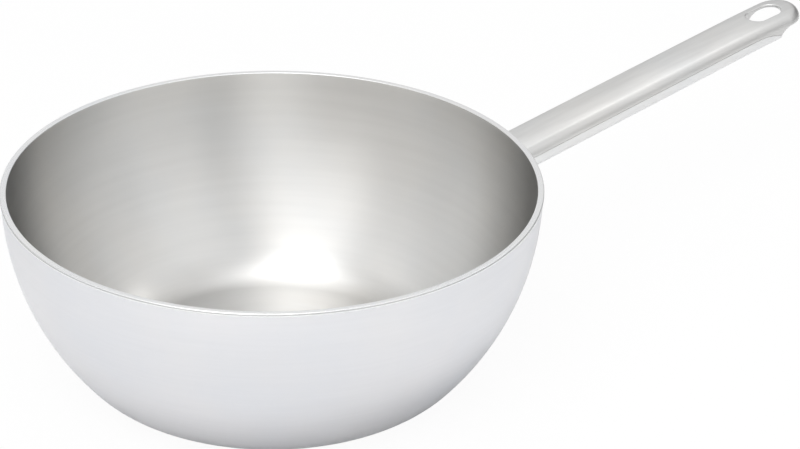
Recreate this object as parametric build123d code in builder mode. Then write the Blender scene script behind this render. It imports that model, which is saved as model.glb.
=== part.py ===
from build123d import *
import os
from math import asin, atan2, cos, degrees, radians, sin, sqrt

os.makedirs("parts", exist_ok=True)

# Saucier pan: a clad bowl with a round knuckle and one welded hollow handle.
# Millimetres, +Z up, origin at the centre of the base's underside, handle along +X.

# Bowl, outer surface
HEIGHT = 94.0
RIM_RADIUS = 122.5
WALL_ARC = 128.6
KNUCKLE_ARC = 30.5

# Plies, as depths from the outer surface inwards
SKIN_OUT = 0.5
BOND_OUT = 0.7
CORE_IN = 1.9
BOND_IN = 2.1
BOWL_WALL = 2.5

# Rim: the cooking skin is folded over the edges of the other plies
RIM_CAP = 0.6
LIP_PROUD = 0.4
LIP_DROP = 1.5
LIP_ROUND = 0.35
RIM_INNER_ROUND = 0.3
RIM_OUTER_ROUND = 0.5

# Handle datum: a sloping plane, with stations measured along it from the pan's axis
HANDLE_SLOPE = 7.2
DATUM_HEIGHT = 51.2
HANDLE_START = 100.0
TIP_STATION = 342.7

# Handle section: crowned top, upright sides, flat bottom with round corners
HALF_WIDTH = 12.5
CROWN_TOP = 1.43
CROWN_ARC = 45.0
SHOULDER_ROUND = 4.8
BOTTOM_LEVEL = -11.26
BOTTOM_ROUND = 4.0
UPPER_WALL = 1.5
LOWER_WALL = 1.2

# Handle end: it widens a little before the round tip, and its crown droops along an arc
TIP_RADIUS = 12.9
TAPER_STATION = 300.0
DROOP_ARC = 740.0

# Seam between the shells, seen from the side: it dips under the slot
SEAM_LEVEL = -4.41
SEAM_GAP = 0.4
SEAM_RECESS = 0.15
SEAM_WELD_DEPTH = 1.0
DIP_STATION = 304.9
CORNER_STATION = 322.5
CORNER_LEVEL = -8.1
CORNER_SLOPE = -0.42
SCOOP_STATION = 325.4
SCOOP_LEVEL = -6.1
TIP_EDGE_STATION = 331.0
TIP_EDGE_LEVEL = -5.0
HORN_LEVEL = -9.0
HORN_FOOT_STATION = 314.0
HORN_ARC = 40.0

# Hanging slot through the crown, and the scoop that opens the underside below it
SLOT_CENTRE = 321.8
SLOT_LENGTH = 20.8
SLOT_WIDTH = 11.7
SLOT_ROUND = 0.6
SCOOP_START = 306.7
SCOOP_HALF_WIDTH = 10.5
BULKHEAD_WALL = 1.2

# Fillet weld where the handle meets the bowl
ROOT_WELD_LEG = 2.4
ROOT_WELD_CHAMFER = 2.1

# Derived bowl geometry: both arcs are tangent to each other and to the base
WALL_CENTRE = RIM_RADIUS - WALL_ARC
ARC_GAP = WALL_ARC - KNUCKLE_ARC
BASE_RADIUS = WALL_CENTRE + sqrt(ARC_GAP**2 - (HEIGHT - KNUCKLE_ARC)**2)
JOIN_ANGLE = degrees(atan2(KNUCKLE_ARC - HEIGHT, BASE_RADIUS - WALL_CENTRE))


def bowl_curve(depth, top):
    """Edges of the bowl surface at a depth inside the outer one, from the axis up to a level."""
    top_angle = degrees(asin((top - HEIGHT) / (WALL_ARC - depth)))
    floor = Line((0, depth), (BASE_RADIUS, depth))
    knuckle = CenterArc((BASE_RADIUS, KNUCKLE_ARC), KNUCKLE_ARC - depth, -90, JOIN_ANGLE + 90)
    wall = CenterArc((WALL_CENTRE, HEIGHT), WALL_ARC - depth, JOIN_ANGLE, top_angle - JOIN_ANGLE)
    return floor, knuckle, wall


def bowl_layer(outer, inner, top):
    """Solid of revolution between two depths of the bowl wall."""
    with BuildPart() as layer:
        with BuildSketch(Plane.XZ):
            with BuildLine():
                outside = bowl_curve(outer, top)[2]
                inside = bowl_curve(inner, top)[2]
                Line(outside @ 1, inside @ 1)
                Line((0, outer), (0, inner))
            make_face()
        revolve(axis=Axis.Z)
    return layer.part


def bowl_solid(depth, top):
    """Solid of revolution filled from the axis out to a depth of the bowl wall."""
    with BuildPart() as filled:
        with BuildSketch(Plane.XZ):
            with BuildLine():
                wall = bowl_curve(depth, top)[2]
                Polyline(wall @ 1, (0, top), (0, depth))
            make_face()
        revolve(axis=Axis.Z)
    return filled.part


PLY_TOP = HEIGHT - RIM_CAP

with BuildPart() as induction_skin:
    add(bowl_layer(0, SKIN_OUT, PLY_TOP))

with BuildPart() as lower_bond_ply:
    add(bowl_layer(SKIN_OUT, BOND_OUT, PLY_TOP))

with BuildPart() as aluminium_core:
    add(bowl_layer(BOND_OUT, CORE_IN, PLY_TOP))

with BuildPart() as upper_bond_ply:
    add(bowl_layer(CORE_IN, BOND_IN, PLY_TOP))

# The cooking skin and its folded rim, which caps the other plies and stands proud as a small lip
covered_plies = bowl_layer(0, BOND_IN, PLY_TOP)
rim_middle = RIM_RADIUS + (LIP_PROUD - BOWL_WALL) / 2

with BuildPart() as cooking_skin:
    add(bowl_layer(BOND_IN, BOWL_WALL, PLY_TOP))
    with BuildSketch(Plane.XZ):
        with Locations((rim_middle, HEIGHT - LIP_DROP / 2)):
            Rectangle(BOWL_WALL + LIP_PROUD, LIP_DROP)
        rim_corners = vertices().sort_by(Axis.Y)
        fillet(rim_corners[2:].sort_by(Axis.X)[0], RIM_INNER_ROUND)
        fillet(vertices().group_by(Axis.Y)[-1].sort_by(Axis.X)[-1], RIM_OUTER_ROUND)
        fillet(vertices().group_by(Axis.Y)[0].sort_by(Axis.X)[-1], LIP_ROUND)
    revolve(axis=Axis.Z)
    add(covered_plies, mode=Mode.SUBTRACT)

# Planes of the handle: seen from above, from the side, and across it where the taper starts
slope = radians(HANDLE_SLOPE)
ALONG = Vector(cos(slope), 0, sin(slope))
NORMAL = Vector(-sin(slope), 0, cos(slope))
DATUM = Vector(0, 0, DATUM_HEIGHT)
TOP_VIEW = Plane(origin=DATUM, x_dir=ALONG, z_dir=NORMAL)
SIDE_VIEW = Plane(origin=DATUM, x_dir=ALONG, z_dir=(0, -1, 0))
TAPER_VIEW = Plane(origin=DATUM + ALONG * TAPER_STATION, x_dir=(0, 1, 0), z_dir=ALONG)
REACH = 30.0


def under_crown(inset):
    """Region under the crown: straight along the handle, then drooping towards the tip."""
    side = TIP_RADIUS + REACH / 2
    side_level = CROWN_TOP - CROWN_ARC + sqrt((CROWN_ARC - inset)**2 - side**2)
    droop_axis = Axis(TAPER_VIEW.origin + NORMAL * (CROWN_TOP - DROOP_ARC), (0, 1, 0))
    droop_angle = degrees((TIP_STATION - TAPER_STATION + REACH / 2) / DROOP_ARC)
    with BuildPart() as region:
        with BuildSketch(TAPER_VIEW) as section:
            with BuildLine():
                ThreePointArc((-side, side_level), (0, CROWN_TOP - inset), (side, side_level))
                Polyline((side, side_level), (side, -REACH), (-side, -REACH), (-side, side_level))
            make_face()
        extrude(amount=HANDLE_START - REACH - TAPER_STATION)
        revolve(section.sketch, axis=droop_axis, revolution_arc=droop_angle)
    return region.part


def handle_form(inset):
    """Closed outer form of the handle, shrunk all round by an inset."""
    half = HALF_WIDTH - inset
    tip_radius = TIP_RADIUS - inset
    tip_centre = TIP_STATION - TIP_RADIUS
    start = HANDLE_START - inset
    with BuildPart() as form:
        with BuildSketch(TOP_VIEW.offset(BOTTOM_LEVEL + inset)):
            with BuildLine():
                Polyline((TAPER_STATION, half), (start, half), (start, -half), (TAPER_STATION, -half))
                near = TangentArc((TAPER_STATION, -half), (tip_centre, -tip_radius), tangent=(1, 0))
                far = TangentArc((TAPER_STATION, half), (tip_centre, tip_radius), tangent=(1, 0))
                ThreePointArc(near @ 1, (tip_centre + tip_radius, 0), far @ 1)
            make_face()
        extrude(amount=REACH)
        add(under_crown(inset), mode=Mode.INTERSECT)
        # Both rounds start on the straight sides and follow the tangent edges round the tip
        straight_edges = edges().filter_by(Axis((0, 0, 0), ALONG))
        foot_edges, shoulder_edges = straight_edges.group_by(Axis((0, 0, 0), NORMAL))
        fillet(shoulder_edges, SHOULDER_ROUND - inset)
        fillet(foot_edges, BOTTOM_ROUND - inset)
    return form.part


def above_seam(raise_by):
    """Region over the seam line, seen from the side; the line is raised or lowered as a whole."""
    level = SEAM_LEVEL + raise_by
    with BuildPart() as region:
        with BuildSketch(SIDE_VIEW):
            with BuildLine():
                seam = Line((HANDLE_START - REACH, level), (DIP_STATION, level))
                dip = Spline(seam @ 1, (CORNER_STATION, CORNER_LEVEL + raise_by),
                             tangents=[(1, 0), (1, CORNER_SLOPE)])
                scoop = Spline(dip @ 1, (SCOOP_STATION, SCOOP_LEVEL + raise_by),
                               (TIP_EDGE_STATION, TIP_EDGE_LEVEL + raise_by),
                               tangents=[(1, 1), (1, 0)])
                Polyline(scoop @ 1, (TIP_STATION + REACH, TIP_EDGE_LEVEL + raise_by),
                         (TIP_STATION + REACH, REACH), (HANDLE_START - REACH, REACH), seam @ 0)
            make_face()
        extrude(amount=REACH, both=True)
    return region.part


def stadium(centre, length, width, low, high):
    """Slot-shaped block along the handle between two levels of the handle's datum."""
    with BuildPart() as block:
        with BuildSketch(TOP_VIEW.offset(low)):
            with Locations((centre, 0)):
                SlotOverall(length, width)
        extrude(amount=high - low)
    return block.part


bowl_body = bowl_solid(0, PLY_TOP)
outer_form = handle_form(0)
upper_hollow = handle_form(UPPER_WALL)
lower_hollow = handle_form(LOWER_WALL)
slot_hole = stadium(SLOT_CENTRE, SLOT_LENGTH, SLOT_WIDTH, -REACH, REACH)

# Upper shell: crown and skirts in one pressing, round tip, slot with a rounded rim
with BuildPart() as handle_upper_shell:
    add(outer_form)
    add(slot_hole, mode=Mode.SUBTRACT)
    slot_rim = edges(Select.LAST).filter_by(lambda edge: TOP_VIEW.to_local_coords(edge.center()).Z > 0)
    fillet(slot_rim, SLOT_ROUND)
    add(upper_hollow, mode=Mode.SUBTRACT)
    add(above_seam(SEAM_GAP / 2), mode=Mode.INTERSECT)
    add(bowl_body, mode=Mode.SUBTRACT)

# Lower shell: trough under the handle, its end scooped out below the slot and closed by a bulkhead
scoop_length = 2 * (CORNER_STATION - SCOOP_START)
scoop_hole = stadium(CORNER_STATION, scoop_length, 2 * SCOOP_HALF_WIDTH, -REACH, REACH)
bulkhead_back = stadium(CORNER_STATION, scoop_length + 2 * BULKHEAD_WALL,
                        2 * (SCOOP_HALF_WIDTH + BULKHEAD_WALL), -REACH, REACH)
bulkhead_end = SCOOP_START + SCOOP_HALF_WIDTH

with BuildPart() as horn_limit:
    with BuildSketch(SIDE_VIEW):
        with BuildLine():
            Polyline((HORN_FOOT_STATION, -REACH), (HANDLE_START - REACH, -REACH),
                     (HANDLE_START - REACH, REACH), (CORNER_STATION, REACH), (CORNER_STATION, HORN_LEVEL))
            RadiusArc((CORNER_STATION, HORN_LEVEL), (HORN_FOOT_STATION, -REACH), HORN_ARC)
        make_face()
    extrude(amount=REACH, both=True)

with BuildPart() as bulkhead:
    add(bulkhead_back)
    add(scoop_hole, mode=Mode.SUBTRACT)
    add(upper_hollow, mode=Mode.INTERSECT)
    split(bisect_by=Plane(origin=DATUM + ALONG * bulkhead_end, z_dir=ALONG), keep=Keep.BOTTOM)

with BuildPart() as handle_lower_shell:
    add(outer_form)
    add(above_seam(-SEAM_GAP / 2), mode=Mode.SUBTRACT)
    add(lower_hollow - bulkhead_back, mode=Mode.SUBTRACT)
    add(scoop_hole, mode=Mode.SUBTRACT)
    add(horn_limit.part, mode=Mode.INTERSECT)
    add(bulkhead.part)
    add(bowl_body, mode=Mode.SUBTRACT)

# Seam welds: a narrow bead in the gap on each side, a little below the surface
with BuildPart() as seam_band:
    add(handle_form(SEAM_RECESS))
    add(handle_form(SEAM_WELD_DEPTH), mode=Mode.SUBTRACT)
    add(above_seam(-SEAM_GAP / 2), mode=Mode.INTERSECT)
    add(above_seam(SEAM_GAP / 2), mode=Mode.SUBTRACT)
    add(horn_limit.part, mode=Mode.INTERSECT)
    add(bowl_body, mode=Mode.SUBTRACT)

with BuildPart() as handle_seam_weld_left:
    add(seam_band.part.solids().sort_by(Axis.Y)[-1])

with BuildPart() as handle_seam_weld_right:
    add(seam_band.part.solids().sort_by(Axis.Y)[0])

# Root weld: a bead round the handle, lying against the bowl
bowl_swell = bowl_solid(-ROOT_WELD_LEG, PLY_TOP)

with BuildPart() as handle_root_weld:
    add(handle_form(-ROOT_WELD_LEG))
    add(bowl_swell, mode=Mode.INTERSECT)
    add(bowl_body, mode=Mode.SUBTRACT)
    bead_face = faces().filter_by(GeomType.REVOLUTION).sort_by(Axis((0, 0, 0), ALONG))[-1]
    chamfer(bead_face.edges(), ROOT_WELD_CHAMFER)
    add(outer_form, mode=Mode.SUBTRACT)

cooking_skin.part.label = "cooking_skin"
upper_bond_ply.part.label = "upper_bond_ply"
aluminium_core.part.label = "aluminium_core"
lower_bond_ply.part.label = "lower_bond_ply"
induction_skin.part.label = "induction_skin"
handle_upper_shell.part.label = "handle_upper_shell"
handle_lower_shell.part.label = "handle_lower_shell"
handle_seam_weld_left.part.label = "handle_seam_weld_left"
handle_seam_weld_right.part.label = "handle_seam_weld_right"
handle_root_weld.part.label = "handle_root_weld"

export_step(cooking_skin.part, "parts/cooking_skin.step")
export_step(upper_bond_ply.part, "parts/upper_bond_ply.step")
export_step(aluminium_core.part, "parts/aluminium_core.step")
export_step(lower_bond_ply.part, "parts/lower_bond_ply.step")
export_step(induction_skin.part, "parts/induction_skin.step")
export_step(handle_upper_shell.part, "parts/handle_upper_shell.step")
export_step(handle_lower_shell.part, "parts/handle_lower_shell.step")
export_step(handle_seam_weld_left.part, "parts/handle_seam_weld_left.step")
export_step(handle_seam_weld_right.part, "parts/handle_seam_weld_right.step")
export_step(handle_root_weld.part, "parts/handle_root_weld.step")
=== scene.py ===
from math import asin, atan2, cos, degrees, pi, radians, sin, sqrt, tau

import bmesh
import bpy
from mathutils import Matrix, Vector


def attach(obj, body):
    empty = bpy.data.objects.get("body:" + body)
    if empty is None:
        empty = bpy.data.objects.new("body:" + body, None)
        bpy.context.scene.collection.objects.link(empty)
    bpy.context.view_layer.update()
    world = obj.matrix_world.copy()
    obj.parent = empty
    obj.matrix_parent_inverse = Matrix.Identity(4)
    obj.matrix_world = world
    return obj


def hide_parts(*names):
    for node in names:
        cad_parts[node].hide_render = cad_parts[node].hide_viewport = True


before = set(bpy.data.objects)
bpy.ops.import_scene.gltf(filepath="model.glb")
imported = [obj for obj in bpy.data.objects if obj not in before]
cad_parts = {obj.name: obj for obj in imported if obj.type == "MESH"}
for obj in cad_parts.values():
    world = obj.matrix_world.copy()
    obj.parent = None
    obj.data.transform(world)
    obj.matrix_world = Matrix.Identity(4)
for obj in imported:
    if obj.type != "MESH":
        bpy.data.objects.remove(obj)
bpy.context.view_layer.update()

# Saucier pan: turned bowl skins, a brushed hollow handle and its weld beads.
# Metres, +Z up, origin at the centre of the base's underside, handle along +X.
MM = 0.001

# Bowl, outer surface and the depths of its skins
HEIGHT = 94.0 * MM
RIM_RADIUS = 122.5 * MM
WALL_ARC = 128.6 * MM
KNUCKLE_ARC = 30.5 * MM
SKIN_OUT = 0.5 * MM
BOND_IN = 2.1 * MM
BOWL_WALL = 2.5 * MM

# Folded rim
RIM_CAP = 0.6 * MM
LIP_PROUD = 0.4 * MM
LIP_DROP = 1.5 * MM
LIP_ROUND = 0.35 * MM
RIM_INNER_ROUND = 0.3 * MM
RIM_OUTER_ROUND = 0.5 * MM

# The rim's finish ends at the inner round and at the lip's foot: the fall between them, per outward length
RIM_FALL = LIP_DROP / (BOWL_WALL + LIP_PROUD)

# Painted shade: a dark line on the lip's outer face, where the fold was rolled against the outer skin,
# standing in for the shadow in that crease
LIP_SHADE_LEVEL = HEIGHT - 0.55 * MM
LIP_SHADE_WIDTH = 0.38 * MM
LIP_SHADE_FACTOR = 0.6

# Handle, in a sloping plane with stations measured from the pan's axis
HANDLE_SLOPE = radians(7.2)
DATUM_HEIGHT = 51.2 * MM
HALF_WIDTH = 12.5 * MM
CROWN_TOP = 1.43 * MM
CROWN_ARC = 45.0 * MM
SHOULDER_ROUND = 4.8 * MM
BOTTOM_LEVEL = -11.26 * MM
BOTTOM_ROUND = 4.0 * MM

# Root weld: a rippled bead in the corner between handle and bowl
BEAD_RADIUS = 1.55 * MM
RIPPLE_PITCH = 1.25 * MM
RIPPLE_HEIGHT = 0.09
STEPS_PER_RIPPLE = 8
BEAD_SIDES = 18

# The handle meets the bowl between these stations, found by halving the gap
ROOT_NEAR = 60 * MM
ROOT_FAR = 140 * MM
ROOT_HALVINGS = 40

# How finely the round parts are cut
SPOKES = 360
FLOOR_RINGS = 14
KNUCKLE_RINGS = 18
WALL_RINGS = 36
ROUND_STEPS = 6
CROWN_STEPS = 16
CORNER_STEPS = 8

# Points nearer than this are one point
TURNED_MERGE = 0.001 * MM
PRESSED_MERGE = 0.002 * MM

# Edges that turn by more than this stay sharp
TURNED_SHARP = radians(35)
BEAD_SHARP = radians(60)
PRESSED_SHARP = radians(32)

# How much a pressed shell's large faces count in its shading
LARGE_FACE_WEIGHT = 80

WALL_CENTRE = RIM_RADIUS - WALL_ARC
ARC_GAP = WALL_ARC - KNUCKLE_ARC
BASE_RADIUS = WALL_CENTRE + sqrt(ARC_GAP**2 - (HEIGHT - KNUCKLE_ARC)**2)
JOIN_ANGLE = degrees(atan2(KNUCKLE_ARC - HEIGHT, BASE_RADIUS - WALL_CENTRE))
ALONG = Vector((cos(HANDLE_SLOPE), 0, sin(HANDLE_SLOPE)))
NORMAL = Vector((-sin(HANDLE_SLOPE), 0, cos(HANDLE_SLOPE)))
DATUM = Vector((0, 0, DATUM_HEIGHT))


# Node helpers

class Wiring:
    """Adds nodes to a tree and joins them by plain calls."""

    def __init__(self, tree):
        self.tree = tree

    def node(self, kind, inputs=None, **settings):
        made = self.tree.nodes.new(kind)
        for name, value in settings.items():
            setattr(made, name, value)
        for name, value in (inputs or {}).items():
            self.feed(made.inputs[name], value)
        return made

    def feed(self, socket, value):
        if isinstance(value, bpy.types.NodeSocket):
            self.tree.links.new(value, socket)
        else:
            socket.default_value = value

    def math(self, operation, first, second=0.0, third=0.0):
        made = self.tree.nodes.new("ShaderNodeMath")
        made.operation = operation
        for socket, value in zip(made.inputs, (first, second, third)):
            self.feed(socket, value)
        return made.outputs[0]


def open_group(name, kind, inputs, outputs):
    """A new node group with named sockets; returns its wiring, its inputs and its output node."""
    group = bpy.data.node_groups.new(name, kind)
    for label, socket_type, value in inputs:
        socket = group.interface.new_socket(label, in_out="INPUT", socket_type=socket_type)
        if value is not None:
            socket.default_value = value
    for label, socket_type in outputs:
        group.interface.new_socket(label, in_out="OUTPUT", socket_type=socket_type)
    wiring = Wiring(group)
    return wiring, wiring.node("NodeGroupInput").outputs, wiring.node("NodeGroupOutput").inputs


# Finishes shared by several materials

# The wide streaks' scale as a share of the fine ones'
WIDE_STREAK_SCALE = 0.22
BUMP_STRENGTH = 0.35

# The handle's grain along it; across it the scale is 1 / MM
ALONG_STRETCH = 0.02 / MM

# Noise levels where a patch begins and where it is full
MARKS_START = 0.4
MARKS_END = 0.68


def brushed_grain_group():
    """Long fine scratches: X and Y of the coordinates run along the brushing, Z runs across it."""
    wiring, given, out = open_group(
        "brushed_grain", "ShaderNodeTree",
        [("Vector", "NodeSocketVector", None), ("Fine Scale", "NodeSocketFloat", 1.0),
         ("Coarse Share", "NodeSocketFloat", 0.35)],
        [("Height", "NodeSocketFloat"), ("Streaks", "NodeSocketFloat")])
    fine = wiring.node("ShaderNodeTexNoise", {"Vector": given["Vector"], "Scale": given["Fine Scale"],
                                              "Detail": 3.0, "Roughness": 0.6})
    coarse_scale = wiring.math("MULTIPLY", given["Fine Scale"], WIDE_STREAK_SCALE)
    coarse = wiring.node("ShaderNodeTexNoise", {"Vector": given["Vector"], "Scale": coarse_scale,
                                                "Detail": 2.0, "Roughness": 0.5})
    mix = wiring.node("ShaderNodeMix", {"Factor": given["Coarse Share"]}, data_type="FLOAT")
    wiring.feed(mix.inputs[2], fine.outputs[0])
    wiring.feed(mix.inputs[3], coarse.outputs[0])
    wiring.feed(out["Height"], mix.outputs[0])
    wiring.feed(out["Streaks"], coarse.outputs[0])
    return wiring.tree


def handling_marks_group():
    """Soft patches where hands, cloths and water have touched the steel."""
    wiring, given, out = open_group(
        "handling_marks", "ShaderNodeTree",
        [("Vector", "NodeSocketVector", None), ("Scale", "NodeSocketFloat", 14.0)],
        [("Mask", "NodeSocketFloat")])
    patches = wiring.node("ShaderNodeTexNoise", {"Vector": given["Vector"], "Scale": given["Scale"],
                                                 "Detail": 4.0, "Roughness": 0.55})
    spread = wiring.node("ShaderNodeMapRange", {"Value": patches.outputs[0], "From Min": MARKS_START,
                                                "From Max": MARKS_END})
    wiring.feed(out["Mask"], spread.outputs[0])
    return wiring.tree


def round_the_axis_group():
    """Coordinates for brushing in circles: slow round the pan, fast along its profile."""
    wiring, given, out = open_group(
        "round_the_axis", "ShaderNodeTree",
        [("Position", "NodeSocketVector", None), ("Slow", "NodeSocketFloat", 6.0)],
        [("Vector", "NodeSocketVector"), ("Radius", "NodeSocketFloat")])
    parts = wiring.node("ShaderNodeSeparateXYZ", {"Vector": given["Position"]}).outputs
    square = wiring.math("ADD", wiring.math("MULTIPLY", parts["X"], parts["X"]),
                         wiring.math("MULTIPLY", parts["Y"], parts["Y"]))
    radius = wiring.math("SQRT", square)
    safe = wiring.math("MAXIMUM", radius, 1 * MM)
    turn_x = wiring.math("MULTIPLY", wiring.math("DIVIDE", parts["X"], safe), given["Slow"])
    turn_y = wiring.math("MULTIPLY", wiring.math("DIVIDE", parts["Y"], safe), given["Slow"])
    profile = wiring.math("MULTIPLY", wiring.math("ADD", radius, parts["Z"]), 1 / MM)
    joined = wiring.node("ShaderNodeCombineXYZ", {"X": turn_x, "Y": turn_y, "Z": profile})
    wiring.feed(out["Vector"], joined.outputs[0])
    wiring.feed(out["Radius"], radius)
    return wiring.tree


def level_line_group():
    """Mask of a soft line that runs level round the pan."""
    wiring, given, out = open_group(
        "level_line", "ShaderNodeTree",
        [("Position", "NodeSocketVector", None), ("Level", "NodeSocketFloat", 0.0),
         ("Width", "NodeSocketFloat", 1 * MM)],
        [("Mask", "NodeSocketFloat")])
    height = wiring.node("ShaderNodeSeparateXYZ", {"Vector": given["Position"]}).outputs["Z"]
    off = wiring.math("ABSOLUTE", wiring.math("SUBTRACT", height, given["Level"]))
    off = wiring.math("DIVIDE", off, given["Width"])
    line = wiring.node("ShaderNodeMapRange", {"Value": off, "From Min": 0.5, "From Max": 1.0, "To Min": 1.0,
                                              "To Max": 0.0}, interpolation_type="SMOOTHSTEP")
    wiring.feed(out["Mask"], line.outputs[0])
    return wiring.tree


# Steel looks a little cooler where it has been handled
COOL_CAST = (0.965, 0.98, 1.0)

GRAIN = brushed_grain_group()
MARKS = handling_marks_group()
ROUND = round_the_axis_group()
LINE = level_line_group()


def steel(name, tint, shade, roughness, spread, anisotropy, tangent, coordinates, fine_scale, depth):
    """Brushed steel: grain in colour, roughness and height, and a highlight stretched across the grain."""
    material = bpy.data.materials.new(name)
    material.use_nodes = True
    wiring = Wiring(material.node_tree)
    shader = material.node_tree.nodes["Principled BSDF"]
    shader.inputs["Metallic"].default_value = 1.0
    shader.inputs["Anisotropic"].default_value = anisotropy
    shader.inputs["Anisotropic Rotation"].default_value = 0.25
    position = wiring.node("ShaderNodeTexCoord").outputs["Object"]
    stretched = coordinates(wiring, position)
    grain = wiring.node("ShaderNodeGroup", node_tree=GRAIN)
    wiring.feed(grain.inputs["Vector"], stretched)
    grain.inputs["Fine Scale"].default_value = fine_scale
    marks = wiring.node("ShaderNodeGroup", node_tree=MARKS)
    wiring.feed(marks.inputs["Vector"], position)
    colour = wiring.node("ShaderNodeMix", data_type="RGBA")
    wiring.feed(colour.inputs[0], grain.outputs["Streaks"])
    colour.inputs[6].default_value = (*shade, 1)
    colour.inputs[7].default_value = (*tint, 1)
    cast = wiring.node("ShaderNodeMix", data_type="RGBA", blend_type="MULTIPLY")
    wiring.feed(cast.inputs[0], marks.outputs["Mask"])
    wiring.feed(cast.inputs[6], colour.outputs[2])
    cast.inputs[7].default_value = (*COOL_CAST, 1)
    wiring.feed(shader.inputs["Base Color"], cast.outputs[2])
    gloss = wiring.math("MULTIPLY_ADD", grain.outputs["Height"], spread, roughness - spread / 2)
    gloss = wiring.math("MULTIPLY_ADD", marks.outputs["Mask"], spread / 3, gloss)
    wiring.feed(shader.inputs["Roughness"], gloss)
    bump = wiring.node("ShaderNodeBump", {"Strength": BUMP_STRENGTH, "Distance": depth,
                                          "Height": grain.outputs["Height"]})
    wiring.feed(shader.inputs["Normal"], bump.outputs[0])
    if tangent is not None:
        wiring.feed(shader.inputs["Tangent"], tangent(wiring))
    return material


def circle_coordinates(wiring, position):
    group = wiring.node("ShaderNodeGroup", node_tree=ROUND)
    wiring.feed(group.inputs["Position"], position)
    return group.outputs["Vector"]


def along_coordinates(wiring, position):
    """Slow along the handle, fast across it."""
    mapping = wiring.node("ShaderNodeMapping", {"Vector": position, "Rotation": (0, HANDLE_SLOPE, 0),
                                                "Scale": (ALONG_STRETCH, 1 / MM, 1 / MM)})
    return mapping.outputs[0]


def circle_tangent(wiring):
    return wiring.node("ShaderNodeTangent", direction_type="RADIAL", axis="Z").outputs[0]


def along_tangent(wiring):
    return wiring.node("ShaderNodeCombineXYZ", {"X": ALONG.x, "Y": ALONG.y, "Z": ALONG.z}).outputs[0]


# The cooking steel's roughness stays at 0.28 or more throughout: between 0.25 and 0.28 the render showed
# jagged marks inside the bowl
cooking_steel = steel("cooking_steel", tint=(0.78, 0.77, 0.75), shade=(0.72, 0.71, 0.69), roughness=0.31,
                      spread=0.06, anisotropy=0.88, tangent=circle_tangent, coordinates=circle_coordinates,
                      fine_scale=0.9, depth=0.006 * MM)
cooking_steel.node_tree.nodes["Principled BSDF"].inputs["Specular Tint"].default_value = (0.5, 0.5, 0.5, 1)
satin_steel = steel("satin_steel", tint=(0.785, 0.785, 0.80), shade=(0.75, 0.75, 0.765), roughness=0.36,
                    spread=0.06, anisotropy=0.4, tangent=circle_tangent, coordinates=circle_coordinates,
                    fine_scale=2.2, depth=0.01 * MM)
rim_steel = steel("rim_steel", tint=(0.92, 0.92, 0.915), shade=(0.86, 0.86, 0.86), roughness=0.26,
                  spread=0.06, anisotropy=0.4, tangent=circle_tangent, coordinates=circle_coordinates,
                  fine_scale=2.6, depth=0.01 * MM)
handle_steel = steel("handle_steel", tint=(0.77, 0.765, 0.75), shade=(0.61, 0.603, 0.59), roughness=0.30,
                     spread=0.10, anisotropy=0.8, tangent=along_tangent, coordinates=along_coordinates,
                     fine_scale=1.2, depth=0.02 * MM)
# Lower shell: a lighter copy of the handle's steel. The extra lightness is painted light, standing in for the
# floor's brighter reflection along the handle's lower strip
trough_steel_painted_light = steel("trough_steel_painted_light", tint=(0.87, 0.87, 0.865), shade=(0.79, 0.79, 0.785), roughness=0.36,
                     spread=0.06, anisotropy=0.4, tangent=along_tangent, coordinates=along_coordinates,
                     fine_scale=1.5, depth=0.015 * MM)
weld_steel = steel("weld_steel", tint=(0.60, 0.59, 0.575), shade=(0.48, 0.47, 0.455), roughness=0.36,
                   spread=0.1, anisotropy=0.0, tangent=None, coordinates=circle_coordinates,
                   fine_scale=1.2, depth=0.02 * MM)
rolled_aluminium = steel("rolled_aluminium", tint=(0.80, 0.80, 0.81), shade=(0.74, 0.74, 0.755),
                         roughness=0.45, spread=0.08, anisotropy=0.0, tangent=None,
                         coordinates=circle_coordinates, fine_scale=1.0, depth=0.01 * MM)


def paint_shade_line(material, level, width, shade):
    """Multiplies a steel's colour down along a level line round the pan: painted shade."""
    wiring = Wiring(material.node_tree)
    shader = material.node_tree.nodes["Principled BSDF"]
    plain = shader.inputs["Base Color"].links[0].from_socket
    line = wiring.node("ShaderNodeGroup", node_tree=LINE)
    wiring.feed(line.inputs["Position"], wiring.node("ShaderNodeTexCoord").outputs["Object"])
    line.inputs["Level"].default_value = level
    line.inputs["Width"].default_value = width
    dark = wiring.node("ShaderNodeMix", data_type="RGBA", blend_type="MULTIPLY")
    wiring.feed(dark.inputs[0], line.outputs["Mask"])
    wiring.feed(dark.inputs[6], plain)
    dark.inputs[7].default_value = (shade, shade, shade, 1)
    wiring.feed(shader.inputs["Base Color"], dark.outputs[2])


# Painted shade along the crease under the rim's lip
paint_shade_line(rim_steel, LIP_SHADE_LEVEL, LIP_SHADE_WIDTH, LIP_SHADE_FACTOR)


# Shapes

def arc(centre, radius, start, end, steps):
    """Points on an arc, angles in degrees."""
    turns = [radians(start + (end - start) * i / steps) for i in range(steps + 1)]
    return [(centre[0] + radius * cos(t), centre[1] + radius * sin(t)) for t in turns]


def bowl_curve(depth, top):
    """Half profile of the bowl at a depth inside its outer surface, from the axis up to a level."""
    top_angle = degrees(asin((top - HEIGHT) / (WALL_ARC - depth)))
    floor = [(BASE_RADIUS * i / FLOOR_RINGS, depth) for i in range(FLOOR_RINGS)]
    knuckle = arc((BASE_RADIUS, KNUCKLE_ARC), KNUCKLE_ARC - depth, -90, JOIN_ANGLE, KNUCKLE_RINGS)
    wall = arc((WALL_CENTRE, HEIGHT), WALL_ARC - depth, JOIN_ANGLE, top_angle, WALL_RINGS)
    return floor + knuckle + wall[1:]


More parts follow.
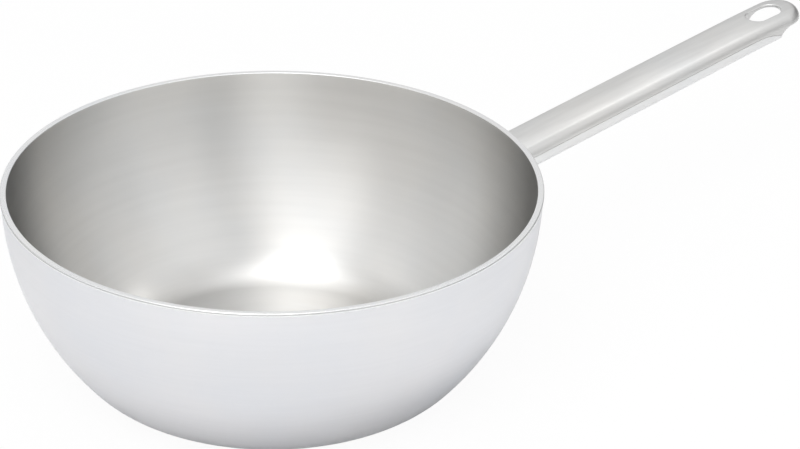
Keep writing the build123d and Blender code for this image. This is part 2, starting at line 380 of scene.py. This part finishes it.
def rim_profile():
    """The rim's section, from its inner edge over the top to the underside of the lip."""
    inner = RIM_RADIUS - BOWL_WALL
    outer = RIM_RADIUS + LIP_PROUD
    foot = HEIGHT - LIP_DROP
    over = arc((inner + RIM_INNER_ROUND, HEIGHT - RIM_INNER_ROUND), RIM_INNER_ROUND, 180, 90, ROUND_STEPS)
    down = arc((outer - RIM_OUTER_ROUND, HEIGHT - RIM_OUTER_ROUND), RIM_OUTER_ROUND, 90, 0, ROUND_STEPS)
    under = arc((outer - LIP_ROUND, foot + LIP_ROUND), LIP_ROUND, 0, -90, ROUND_STEPS)
    return over + down + under


def lathe_tree():
    """Turns a profile, given as points in X and Z, round the pan's axis."""
    wiring, given, out = open_group(
        "turned_shell", "GeometryNodeTree",
        [("Profile", "NodeSocketGeometry", None), ("Spokes", "NodeSocketInt", SPOKES),
         ("Material", "NodeSocketMaterial", None), ("Rim Material", "NodeSocketMaterial", None),
         ("Rim Level", "NodeSocketFloat", 1.0), ("Rim Fall", "NodeSocketFloat", RIM_FALL)],
        [("Geometry", "NodeSocketGeometry")])
    size = wiring.node("GeometryNodeAttributeDomainSize", {"Geometry": given["Profile"]})
    columns = wiring.math("ADD", given["Spokes"], 1)
    grid = wiring.node("GeometryNodeMeshGrid", {"Vertices X": size.outputs["Point Count"],
                                                "Vertices Y": columns})
    index = wiring.node("GeometryNodeInputIndex").outputs[0]
    ring = wiring.math("FLOOR", wiring.math("DIVIDE", wiring.math("ADD", index, 0.5), columns))
    spoke = wiring.math("SUBTRACT", index, wiring.math("MULTIPLY", ring, columns))
    turn = wiring.math("MULTIPLY", wiring.math("DIVIDE", spoke, given["Spokes"]), tau)
    place = wiring.node("GeometryNodeInputPosition").outputs[0]
    point = wiring.node("GeometryNodeSampleIndex", data_type="FLOAT_VECTOR", domain="POINT")
    wiring.feed(point.inputs["Geometry"], given["Profile"])
    wiring.feed(point.inputs["Value"], place)
    wiring.feed(point.inputs["Index"], ring)
    turned = wiring.node("ShaderNodeVectorRotate", {"Vector": point.outputs[0], "Angle": turn},
                         rotation_type="Z_AXIS")
    shell = wiring.node("GeometryNodeSetPosition", {"Geometry": grid.outputs["Mesh"],
                                                    "Position": turned.outputs[0]})
    closed = wiring.node("GeometryNodeMergeByDistance", {"Geometry": shell.outputs[0],
                                                         "Distance": TURNED_MERGE})
    bodied = wiring.node("GeometryNodeSetMaterial", {"Geometry": closed.outputs[0],
                                                     "Material": given["Material"]})
    parts = wiring.node("ShaderNodeSeparateXYZ", {"Vector": place}).outputs
    flat = wiring.node("ShaderNodeCombineXYZ", {"X": parts["X"], "Y": parts["Y"]}).outputs[0]
    radius = wiring.node("ShaderNodeVectorMath", {0: flat}, operation="LENGTH").outputs["Value"]
    above = wiring.node("FunctionNodeCompare", data_type="FLOAT", operation="GREATER_THAN")
    wiring.feed(above.inputs[0], wiring.math("MULTIPLY_ADD", radius, given["Rim Fall"], parts["Z"]))
    wiring.feed(above.inputs[1], given["Rim Level"])
    rimmed = wiring.node("GeometryNodeSetMaterial", {"Geometry": bodied.outputs[0],
                                                     "Selection": above.outputs[0],
                                                     "Material": given["Rim Material"]})
    real = wiring.node("GeometryNodeRealizeInstances", {"Geometry": rimmed.outputs[0]})
    wiring.feed(out["Geometry"], real.outputs[0])
    return wiring.tree


def bead_tree():
    """A weld bead along a closed path, its radius rippling at a steady pitch."""
    wiring, given, out = open_group(
        "weld_bead", "GeometryNodeTree",
        [("Path", "NodeSocketGeometry", None), ("Radius", "NodeSocketFloat", BEAD_RADIUS),
         ("Pitch", "NodeSocketFloat", RIPPLE_PITCH), ("Ripple", "NodeSocketFloat", RIPPLE_HEIGHT),
         ("Step", "NodeSocketFloat", RIPPLE_PITCH / STEPS_PER_RIPPLE),
         ("Material", "NodeSocketMaterial", None)],
        [("Geometry", "NodeSocketGeometry")])
    path = wiring.node("GeometryNodeMeshToCurve", {"Mesh": given["Path"]})
    even = wiring.node("GeometryNodeResampleCurve", mode="LENGTH")
    wiring.feed(even.inputs["Curve"], path.outputs[0])
    wiring.feed(even.inputs["Length"], given["Step"])
    length = wiring.node("GeometryNodeSplineParameter").outputs["Length"]
    wave = wiring.math("SINE", wiring.math("MULTIPLY", wiring.math("DIVIDE", length, given["Pitch"]), pi))
    ripple = wiring.math("MULTIPLY_ADD", wiring.math("ABSOLUTE", wave), given["Ripple"], 1.0)
    scale = wiring.math("MULTIPLY", ripple, given["Radius"])
    section = wiring.node("GeometryNodeCurvePrimitiveCircle", {"Resolution": BEAD_SIDES, "Radius": 1.0})
    swept = wiring.node("GeometryNodeCurveToMesh", {"Curve": even.outputs[0],
                                                    "Profile Curve": section.outputs[0], "Scale": scale})
    smooth = wiring.node("GeometryNodeSetShadeSmooth", {"Geometry": swept.outputs[0]})
    real = wiring.node("GeometryNodeRealizeInstances", {"Geometry": smooth.outputs[0]})
    bodied = wiring.node("GeometryNodeSetMaterial", {"Geometry": real.outputs[0],
                                                     "Material": given["Material"]})
    wiring.feed(out["Geometry"], bodied.outputs[0])
    return wiring.tree


def line_object(name, points, closed=False):
    """An object whose mesh is a chain of points."""
    edges = [(i, i + 1) for i in range(len(points) - 1)]
    if closed:
        edges.append((len(points) - 1, 0))
    mesh = bpy.data.meshes.new(name)
    mesh.from_pydata(points, edges, [])
    made = bpy.data.objects.new(name, mesh)
    bpy.context.scene.collection.objects.link(made)
    return made


def grow(made, tree, values):
    """Runs a tree on an object and keeps the result as a plain mesh."""
    modifier = made.modifiers.new("grow", "NODES")
    modifier.node_group = tree
    for socket in tree.interface.items_tree:
        if socket.name in values:
            modifier[socket.identifier] = values[socket.name]
    bpy.context.view_layer.update()
    evaluated = made.evaluated_get(bpy.context.evaluated_depsgraph_get())
    mesh = bpy.data.meshes.new_from_object(evaluated)
    made.modifiers.clear()
    made.data = mesh
    return made


def face_outwards(made, sharp_angle):
    """Recalculates the normals and smooths all but the sharp edges."""
    work = bmesh.new()
    work.from_mesh(made.data)
    bmesh.ops.recalc_face_normals(work, faces=work.faces)
    for face in work.faces:
        face.smooth = True
    for edge in work.edges:
        edge.smooth = len(edge.link_faces) == 2 and edge.calc_face_angle() < sharp_angle
    work.to_mesh(made.data)
    work.free()
    return made


def finish_piece(made, slot, *nodes):
    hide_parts(*nodes)
    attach(made, "root")
    return made


def turned(name, profile, material, rim_material, rim_level):
    made = line_object(name, [(r, 0, z) for r, z in profile])
    grow(made, LATHE, {"Spokes": SPOKES, "Material": material, "Rim Material": rim_material,
                       "Rim Level": rim_level})
    return face_outwards(made, TURNED_SHARP)


def inner_bowl():
    """Cooking skin with its folded rim."""
    ply_top = HEIGHT - RIM_CAP
    inside = bowl_curve(BOWL_WALL, HEIGHT - RIM_INNER_ROUND)[:-1]
    outside = bowl_curve(0, ply_top)[-1]
    lip_back = bowl_curve(0, HEIGHT - LIP_DROP)[-1]
    hidden = bowl_curve(BOND_IN, ply_top)[::-1]
    profile = inside + rim_profile() + [lip_back, outside] + hidden
    rim_level = HEIGHT - RIM_INNER_ROUND + RIM_FALL * (RIM_RADIUS - BOWL_WALL)
    return finish_piece(turned("bowl_inside", profile, cooking_steel, rim_steel, rim_level),
                        "cooking_steel", "cooking_skin")


def outer_bowl():
    ply_top = HEIGHT - RIM_CAP
    profile = bowl_curve(0, ply_top) + bowl_curve(SKIN_OUT, ply_top)[::-1]
    return finish_piece(turned("bowl_outside", profile, satin_steel, satin_steel, 1.0),
                        "satin_steel", "induction_skin")


def handle_outline():
    """Section of the handle: (sideways, level) points all round, starting at the left of the crown."""
    fillet_y = HALF_WIDTH - SHOULDER_ROUND
    crown_centre = CROWN_TOP - CROWN_ARC
    fillet_level = crown_centre + sqrt((CROWN_ARC - SHOULDER_ROUND)**2 - fillet_y**2)
    crown_end = degrees(atan2(fillet_level - crown_centre, fillet_y))
    low = BOTTOM_LEVEL + BOTTOM_ROUND
    corner = HALF_WIDTH - BOTTOM_ROUND
    return (arc((0, crown_centre), CROWN_ARC, 180 - crown_end, crown_end, CROWN_STEPS)
            + arc((fillet_y, fillet_level), SHOULDER_ROUND, crown_end, 0, CORNER_STEPS)[1:]
            + arc((corner, low), BOTTOM_ROUND, 0, -90, CORNER_STEPS)
            + arc((-corner, low), BOTTOM_ROUND, -90, -180, CORNER_STEPS)
            + arc((-fillet_y, fillet_level), SHOULDER_ROUND, 180, 180 - crown_end, CORNER_STEPS)[:-1])


def station_on_bowl(sideways, level):
    """Where a line along the handle meets the bowl's outer surface."""
    near, far = ROOT_NEAR, ROOT_FAR
    for _ in range(ROOT_HALVINGS):
        middle = (near + far) / 2
        place = DATUM + ALONG * middle + NORMAL * level
        radius = sqrt(place.x**2 + sideways**2)
        inside = (radius - WALL_CENTRE)**2 + (place.z - HEIGHT)**2 < WALL_ARC**2
        near, far = (middle, far) if inside else (near, middle)
    return near


def root_weld():
    points = []
    for sideways, level in handle_outline():
        place = DATUM + ALONG * station_on_bowl(sideways, level) + NORMAL * level
        points.append((place.x, sideways, place.z))
    made = line_object("root_weld_bead", points, closed=True)
    grow(made, BEAD, {"Radius": BEAD_RADIUS, "Pitch": RIPPLE_PITCH, "Ripple": RIPPLE_HEIGHT,
                      "Step": RIPPLE_PITCH / STEPS_PER_RIPPLE, "Material": weld_steel})
    return finish_piece(face_outwards(made, BEAD_SHARP), "weld_steel", "handle_root_weld")


def pressed_shell(name, node, material, slot):
    """A shell of the handle: the solid's own form, merged and smoothed across its rounds."""
    made = bpy.data.objects.new(name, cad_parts[node].data.copy())
    bpy.context.scene.collection.objects.link(made)
    made.data.materials.clear()
    made.data.materials.append(material)
    work = bmesh.new()
    work.from_mesh(made.data)
    bmesh.ops.remove_doubles(work, verts=work.verts, dist=PRESSED_MERGE)
    for face in work.faces:
        face.smooth = True
        face.material_index = 0
    for edge in work.edges:
        edge.smooth = len(edge.link_faces) == 2 and edge.calc_face_angle(pi) < PRESSED_SHARP
    work.to_mesh(made.data)
    work.free()
    weighted = made.modifiers.new("weighted", "WEIGHTED_NORMAL")
    weighted.keep_sharp = True
    weighted.weight = LARGE_FACE_WEIGHT
    bpy.context.view_layer.update()
    evaluated = made.evaluated_get(bpy.context.evaluated_depsgraph_get())
    mesh = bpy.data.meshes.new_from_object(evaluated)
    made.modifiers.clear()
    made.data = mesh
    return finish_piece(made, slot, node)


def dress_node(node, material):
    """Gives a CAD node that stays in view its material."""
    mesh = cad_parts[node].data
    mesh.materials.clear()
    mesh.materials.append(material)


# Stage: brightness of the studio's walls in reflections, and of its light on rough things
WALL_BRIGHT = 0.90
WALL_DIM = 0.25
DIM_SIDE = 125
DIM_DROP = 18
DIM_START = -0.3
DIM_END = 0.8
ROOM_LIGHT = 0.42

# Soft panels on the studio's walls, seen in reflections only, in degrees as seen from the pan:
# azimuth, elevation, half width, half height, softness of the sides, softness of the ends, brightness
PANELS = {
    "key": (-57, 24, 29, 27, 17, 19, 0.50),
    "ceiling edge": (-50, 44, 76, 5, 12, 5, 0.08),
    "side screen": (13, 2, 18, 24, 4, 14, 0.24),
    "side flag": (44, -2, 14, 16, 5, 8, -0.14),
    "right ring": (52, 41, 62, 11, 12, 8, 0.26),
    "left ring": (-114, 41, 42, 13, 12, 8, 0.24),
    "right ceiling": (92, 55, 38, 9, 10, 5, 0.2),
    "back screen": (140, 68, 34, 20, 18, 14, 0.55),
    "back wall": (144, 22, 30, 20, 16, 12, 0.52),
}

# Strip light on the ceiling: it runs over the pan from the camera's side to the back
STRIP_TURN = -50
STRIP_OFFSET = -7
STRIP_HALF_WIDTH = 11
STRIP_SOFTNESS = 8
STRIP_START = 58
STRIP_BRIGHTNESS = 1.6

# How much of the floor's white is its own to the eye; the rest takes the shadow
FLOOR_GLOW_SEEN = 0.94

# Shade on the floor close round the base, which only the steel sees
SHADE_CENTRE = (9 * MM, -7 * MM, 0)
SHADE_START = 82 * MM
SHADE_END = 126 * MM
SHADE_DEEP = 0.70
FLOOR_WHITE = 0.92
FLOOR_REACH = 6.0
FLOOR_GAP = 0.05 * MM

# Within this distance of the axis the steel doesn't mirror the floor
UNDER_BASE = 76 * MM

# Where along the handle the close strip lamp is aimed
STRIP_LAMP_STATION = 0.23


def floor():
    """Plain white floor that keeps a faint shadow to the eye and a fuller one in reflections.

    It is there from above only, and the base doesn't mirror it, so the pan's underside shows from below."""
    reach, level = FLOOR_REACH, -FLOOR_GAP
    mesh = bpy.data.meshes.new("floor")
    mesh.from_pydata([(-reach, -reach, level), (reach, -reach, level), (reach, reach, level),
                      (-reach, reach, level)], [], [(0, 1, 2, 3)])
    made = bpy.data.objects.new("floor", mesh)
    bpy.context.scene.collection.objects.link(made)
    material = bpy.data.materials.new("floor_white")
    material.use_nodes = True
    wiring = Wiring(material.node_tree)
    shader = material.node_tree.nodes["Principled BSDF"]
    shader.inputs["Roughness"].default_value = 0.9
    rays = wiring.node("ShaderNodeLightPath").outputs
    place = wiring.node("ShaderNodeTexCoord").outputs["Object"]
    reached = wiring.node("ShaderNodeVectorMath", {0: place, 1: SHADE_CENTRE},
                          operation="DISTANCE").outputs["Value"]
    open_floor = wiring.node("ShaderNodeMapRange", {"Value": reached, "From Min": SHADE_START,
                                                    "From Max": SHADE_END, "To Min": SHADE_DEEP * FLOOR_WHITE,
                                                    "To Max": FLOOR_WHITE}, interpolation_type="SMOOTHSTEP")
    white = wiring.node("ShaderNodeMix", {"Factor": rays["Is Glossy Ray"]}, data_type="FLOAT")
    white.inputs[2].default_value = FLOOR_WHITE
    wiring.feed(white.inputs[3], open_floor.outputs[0])
    wiring.feed(shader.inputs["Base Color"], white.outputs[0])
    light = wiring.node("ShaderNodeEmission", {"Strength": 1.0})
    seen = wiring.math("MULTIPLY", rays["Is Camera Ray"], FLOOR_GLOW_SEEN)
    mix = wiring.node("ShaderNodeMixShader", {"Fac": seen})
    wiring.feed(mix.inputs[1], shader.outputs[0])
    wiring.feed(mix.inputs[2], light.outputs[0])
    below = wiring.node("ShaderNodeNewGeometry").outputs["Backfacing"]
    from_axis = wiring.node("ShaderNodeVectorMath", {0: place}, operation="LENGTH").outputs["Value"]
    under_base = wiring.math("MULTIPLY", wiring.math("LESS_THAN", from_axis, UNDER_BASE),
                             rays["Is Glossy Ray"])
    one_sided = wiring.node("ShaderNodeMixShader", {"Fac": wiring.math("MAXIMUM", below, under_base)})
    wiring.feed(one_sided.inputs[1], mix.outputs[0])
    wiring.feed(one_sided.inputs[2], wiring.node("ShaderNodeBsdfTransparent").outputs[0])
    wiring.feed(material.node_tree.nodes["Material Output"].inputs["Surface"], one_sided.outputs[0])
    mesh.materials.append(material)


def soft_panel_group():
    """Mask of a soft-edged panel on the studio's walls, with every angle in degrees."""
    wiring, given, out = open_group(
        "soft_panel", "ShaderNodeTree",
        [(name, "NodeSocketFloat", 0.0) for name in
         ("Azimuth", "Elevation", "Panel Azimuth", "Panel Elevation", "Half Width", "Half Height",
          "Side Softness", "End Softness")],
        [("Mask", "NodeSocketFloat")])
    aside = wiring.math("SUBTRACT", given["Azimuth"], given["Panel Azimuth"])
    aside = wiring.math("WRAP", aside, 180.0, -180.0)
    above = wiring.math("SUBTRACT", given["Elevation"], given["Panel Elevation"])
    masks = []
    for offset, half, soft in ((aside, "Half Width", "Side Softness"),
                               (above, "Half Height", "End Softness")):
        masks.append(wiring.node("ShaderNodeMapRange", {
            "Value": wiring.math("ABSOLUTE", offset),
            "From Min": wiring.math("SUBTRACT", given[half], given[soft]),
            "From Max": wiring.math("ADD", given[half], given[soft]), "To Min": 1.0, "To Max": 0.0},
            interpolation_type="SMOOTHSTEP").outputs[0])
    wiring.feed(out["Mask"], wiring.math("MULTIPLY", *masks))
    return wiring.tree


def studio_world():
    """White to the eye; in reflections pale walls, dimmer behind the pan, with soft panels and a strip light.

    Set for the photograph's view. Seen from above, the bowl's floor burns out to white."""
    world = bpy.data.worlds.new("studio")
    bpy.context.scene.world = world
    world.use_nodes = True
    wiring = Wiring(world.node_tree)
    rays = wiring.node("ShaderNodeLightPath").outputs
    direction = wiring.node("ShaderNodeTexCoord").outputs["Generated"]

    def share_of(axis):
        return wiring.node("ShaderNodeVectorMath", {0: direction, 1: axis},
                           operation="DOT_PRODUCT").outputs["Value"]

    turn, drop = radians(DIM_SIDE), radians(DIM_DROP)
    dim_side = (sin(turn) * cos(drop), -cos(turn) * cos(drop), -sin(drop))
    level = wiring.node("ShaderNodeMapRange", {"Value": share_of(dim_side), "From Min": DIM_START,
                                               "From Max": DIM_END, "To Min": WALL_BRIGHT,
                                               "To Max": WALL_DIM}).outputs[0]
    parts = wiring.node("ShaderNodeSeparateXYZ", {"Vector": direction}).outputs
    to_front = wiring.math("MULTIPLY", parts["Y"], -1.0)
    azimuth = wiring.math("DEGREES", wiring.math("ARCTAN2", parts["X"], to_front))
    elevation = wiring.math("DEGREES", wiring.math("ARCSINE", parts["Z"]))
    panel = soft_panel_group()
    for name, (*place, brightness) in PANELS.items():
        mask = wiring.node("ShaderNodeGroup", node_tree=panel, label=name)
        for socket, value in zip(mask.inputs, (azimuth, elevation, *place)):
            wiring.feed(socket, value)
        level = wiring.math("MULTIPLY_ADD", mask.outputs[0], brightness, level)
    strip_side = (cos(radians(STRIP_TURN)), sin(radians(STRIP_TURN)), 0)
    beside = wiring.math("DEGREES", wiring.math("ARCSINE", share_of(strip_side)))
    sides = wiring.node("ShaderNodeMapRange", {
        "Value": wiring.math("ABSOLUTE", wiring.math("SUBTRACT", beside, STRIP_OFFSET)),
        "From Min": STRIP_HALF_WIDTH - STRIP_SOFTNESS, "From Max": STRIP_HALF_WIDTH + STRIP_SOFTNESS,
        "To Min": STRIP_BRIGHTNESS, "To Max": 0.0}, interpolation_type="SMOOTHSTEP").outputs[0]
    ends = wiring.node("ShaderNodeMapRange", {
        "Value": elevation, "From Min": STRIP_START - STRIP_SOFTNESS,
        "From Max": STRIP_START + STRIP_SOFTNESS},
        interpolation_type="SMOOTHSTEP").outputs[0]
    level = wiring.math("MULTIPLY_ADD", sides, ends, level)
    mirrored = wiring.math("MAXIMUM", rays["Is Glossy Ray"], rays["Is Transmission Ray"])
    lit = wiring.math("MULTIPLY_ADD", wiring.math("SUBTRACT", level, ROOM_LIGHT), mirrored, ROOM_LIGHT)
    strength = wiring.math("MULTIPLY_ADD", wiring.math("SUBTRACT", 1.0, lit), rays["Is Camera Ray"], lit)
    background = world.node_tree.nodes["Background"]
    background.inputs["Color"].default_value = (1, 1, 1, 1)
    wiring.feed(background.inputs["Strength"], strength)


def soft_box(name, azimuth, elevation, distance, width, height, brightness,
             aim=(0, 0, HEIGHT / 2), mirrored=False):
    """A soft box aimed at a point of the pan, placed by its direction from there in degrees.

    Brightness is that of its face, where 1 is white. The steel mirrors only a box that says so: the studio's
    panels stand in for the others."""
    data = bpy.data.lights.new(name, "AREA")
    data.shape = "RECTANGLE"
    data.size = width
    data.size_y = height
    data.energy = brightness * pi * width * height
    lamp = bpy.data.objects.new(name, data)
    lamp.visible_glossy = mirrored
    lamp.visible_camera = False
    bpy.context.scene.collection.objects.link(lamp)
    turn, lift = radians(azimuth), radians(elevation)
    away = Vector((sin(turn) * cos(lift), -cos(turn) * cos(lift), sin(lift)))
    lamp.location = away * distance + Vector(aim)
    lamp.rotation_euler = away.to_track_quat("Z", "Y").to_euler()


# Camera: the photograph's view, found from the rim's ellipse
CAMERA_DISTANCE = 1359.4 * MM
CAMERA_AZIMUTH = radians(-37.7)
CAMERA_ELEVATION = radians(26.535)
CAMERA_PAN = radians(-2.726)
CAMERA_TILT = radians(-0.789)
CAMERA_ROLL = radians(0.84)
CAMERA_LENS = 135.0
SENSOR_WIDTH = 36.0


def camera():
    turn, lift = CAMERA_AZIMUTH, CAMERA_ELEVATION
    back = Vector((sin(turn) * cos(lift), -cos(turn) * cos(lift), sin(lift)))
    right = Vector((cos(turn), sin(turn), 0))
    place = Vector((0, 0, HEIGHT)) + back * CAMERA_DISTANCE
    pan = Matrix.Rotation(CAMERA_PAN, 3, "Z")
    back, right = pan @ back, pan @ right
    up = back.cross(right)
    tilt = Matrix.Rotation(CAMERA_TILT, 3, right)
    back, up = tilt @ back, tilt @ up
    roll = Matrix.Rotation(CAMERA_ROLL, 3, back)
    right, up = roll @ right, roll @ up
    data = bpy.data.cameras.new("camera")
    data.lens = CAMERA_LENS
    data.sensor_width = SENSOR_WIDTH
    made = bpy.data.objects.new("camera", data)
    bpy.context.scene.collection.objects.link(made)
    turned_to = Matrix((right, up, back)).transposed()
    made.matrix_world = Matrix.Translation(place) @ turned_to.to_4x4()
    bpy.context.scene.camera = made


LATHE = lathe_tree()
BEAD = bead_tree()

inner_bowl()
outer_bowl()
pressed_shell("handle_top", "handle_upper_shell", handle_steel, "handle_steel")
pressed_shell("handle_trough", "handle_lower_shell", trough_steel_painted_light, "handle_steel")
root_weld()
for ply in ("upper_bond_ply", "aluminium_core", "lower_bond_ply"):
    dress_node(ply, rolled_aluminium)
for weld in ("handle_seam_weld_left", "handle_seam_weld_right"):
    dress_node(weld, weld_steel)

floor()
studio_world()
soft_box("key_box", azimuth=-54, elevation=45, distance=1.8, width=1.4, height=1.4, brightness=3.1)
soft_box("fill_box", azimuth=26, elevation=38, distance=1.8, width=1.2, height=1.4, brightness=0.9)
soft_box("top_box", azimuth=-75, elevation=72, distance=1.6, width=1.3, height=1.3, brightness=1.0)
soft_box("back_box", azimuth=135, elevation=50, distance=1.8, width=1.7, height=1.2, brightness=0.9)
soft_box("handle_strip", azimuth=103, elevation=58, distance=0.6, width=0.38, height=0.13, brightness=0.6,
         aim=DATUM + ALONG * STRIP_LAMP_STATION, mirrored=True)
camera()
bpy.context.scene.view_settings.view_transform = "Standard"
